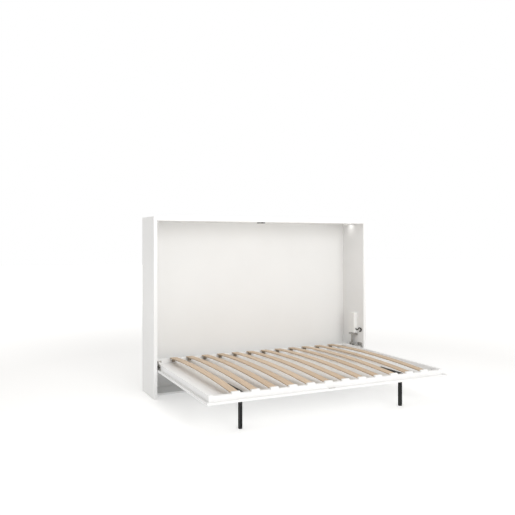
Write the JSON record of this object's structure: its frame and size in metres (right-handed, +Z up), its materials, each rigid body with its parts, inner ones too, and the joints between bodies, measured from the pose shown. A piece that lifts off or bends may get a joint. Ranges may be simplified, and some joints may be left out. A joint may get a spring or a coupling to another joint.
{
  "type": "murphy wall bed",
  "caption": "Horizontal fold-down wall bed: white open cabinet, door panel folded down as the bed base with sprung wooden slats, folding front legs and a lift strut under a cover.",
  "frame": {"origin": "on the floor, under the middle of the whole object's width and depth with the bed folded down", "axes": "+X along the bed to the right, +Y into the wall, +Z up"},
  "size_m": [2.13, 1.529, 1.528],
  "materials": {
    "white_board": "smooth white melamine, fine texture",
    "back_board": "thin white lacquered hardboard",
    "white_rail": "white lacquered rail",
    "beech_slat": "sprung beech, satin",
    "white_plastic": "moulded white plastic",
    "rest_rubber": "grey-brown soft rubber",
    "lens": "frosted light lens",
    "grey_plastic": "grey moulded plastic",
    "black_plastic": "black moulded plastic",
    "black_steel": "black powder coat",
    "grey_steel": "zinc plated sheet steel",
    "white_steel": "white painted steel",
    "bright_steel": "bright ground steel",
    "screw_steel": "zinc plated screws",
    "dark_bolt": "black bolt heads",
    "bush_plastic": "natural acetal bush",
    "foot_rubber": "black rubber foot"
  },
  "bodies": {
    "cabinet": {"left_side_panel": "white_board", "right_side_panel": "white_board", "top_panel": "white_board", "back_panel": "back_board", "base_board": "white_board", "wall_brackets": "white_steel", "top_screws": "screw_steel", "floor_glides": "black_plastic", "light_housings": "white_plastic", "light_lenses": "lens", "latch_housing": "grey_plastic", "latch_spring": "bright_steel", "pivot_bracket_left": "grey_steel", "pivot_bracket_right": "grey_steel", "pivot_pins": "bright_steel", "cabinet_screws": "screw_steel", "lift_cover": "white_plastic", "lift_upper_pin": "bright_steel", "guide_bracket": "grey_steel", "catch_hook": "black_steel"},
    "bed": {"door_board_front": "white_board", "door_board_rear": "white_board", "door_dowels": "beech_slat", "strike_plate": "grey_steel", "left_rail": "white_rail", "right_rail": "white_rail", "front_rail": "white_rail", "rear_rail": "white_rail", "rail_screws": "screw_steel", "corner_brackets": "grey_steel", "slat_01": "beech_slat", "slat_02": "beech_slat", "slat_03": "beech_slat", "slat_04": "beech_slat", "slat_05": "beech_slat", "slat_06": "beech_slat", "slat_07": "beech_slat", "slat_08": "beech_slat", "slat_09": "beech_slat", "slat_10": "beech_slat", "slat_11": "beech_slat", "slat_12": "beech_slat", "slat_caps": "white_plastic", "slat_rests": "rest_rubber", "hinge_arm_left": "grey_steel", "hinge_arm_right": "grey_steel", "hinge_bushes": "bush_plastic", "arm_bolts": "dark_bolt", "lift_lower_pin": "bright_steel", "leg_channels": "black_steel", "leg_pins": "bright_steel"},
    "strut_cylinder": {"lift_cylinder": "grey_steel"},
    "strut_rod": {"lift_rod": "bright_steel"},
    "leg_left": {"leg_left": "black_steel", "leg_foot_left": "foot_rubber", "leg_bolts_left": "dark_bolt"},
    "leg_right": {"leg_right": "black_steel", "leg_foot_right": "foot_rubber", "leg_bolts_right": "dark_bolt"},
    "latch_plunger": {"latch_plunger": "black_plastic"}
  },
  "joints": [
    {"name": "bed_fold", "type": "hinge", "parent": "cabinet", "child": "bed", "pos_m": [0, 0.4445, 0.282], "axis": [-1, 0, 0], "range_deg": [0, 90]},
    {"name": "strut_swing", "type": "hinge", "parent": "bed", "child": "strut_cylinder", "pos_m": [1.014, 0.5565, 0.297], "axis": [-1, 0, 0], "range_deg": [-78, 0]},
    {"name": "strut_slide", "type": "slide", "parent": "strut_cylinder", "child": "strut_rod", "axis": [0, 0.0278, 0.9996], "range_m": [0, 0.1405]},
    {"name": "leg_fold_left", "type": "hinge", "parent": "bed", "child": "leg_left", "pos_m": [-0.726, -0.6135, 0.244], "axis": [1, 0, 0], "range_deg": [0, 90]},
    {"name": "leg_fold_right", "type": "hinge", "parent": "bed", "child": "leg_right", "pos_m": [0.676, -0.6135, 0.244], "axis": [1, 0, 0], "range_deg": [0, 90]},
    {"name": "latch_press", "type": "slide", "parent": "cabinet", "child": "latch_plunger", "axis": [0, 1, 0], "range_m": [0, 0.006], "stiffness_N_per_m": 300, "springref_m": -0.004}
  ],
  "couplings": [
    {"joint": "strut_swing", "follows": "bed_fold", "ratio": -0.85992},
    {"joint": "strut_slide", "follows": "bed_fold", "m_per_rad": 0.089105}
  ]
}
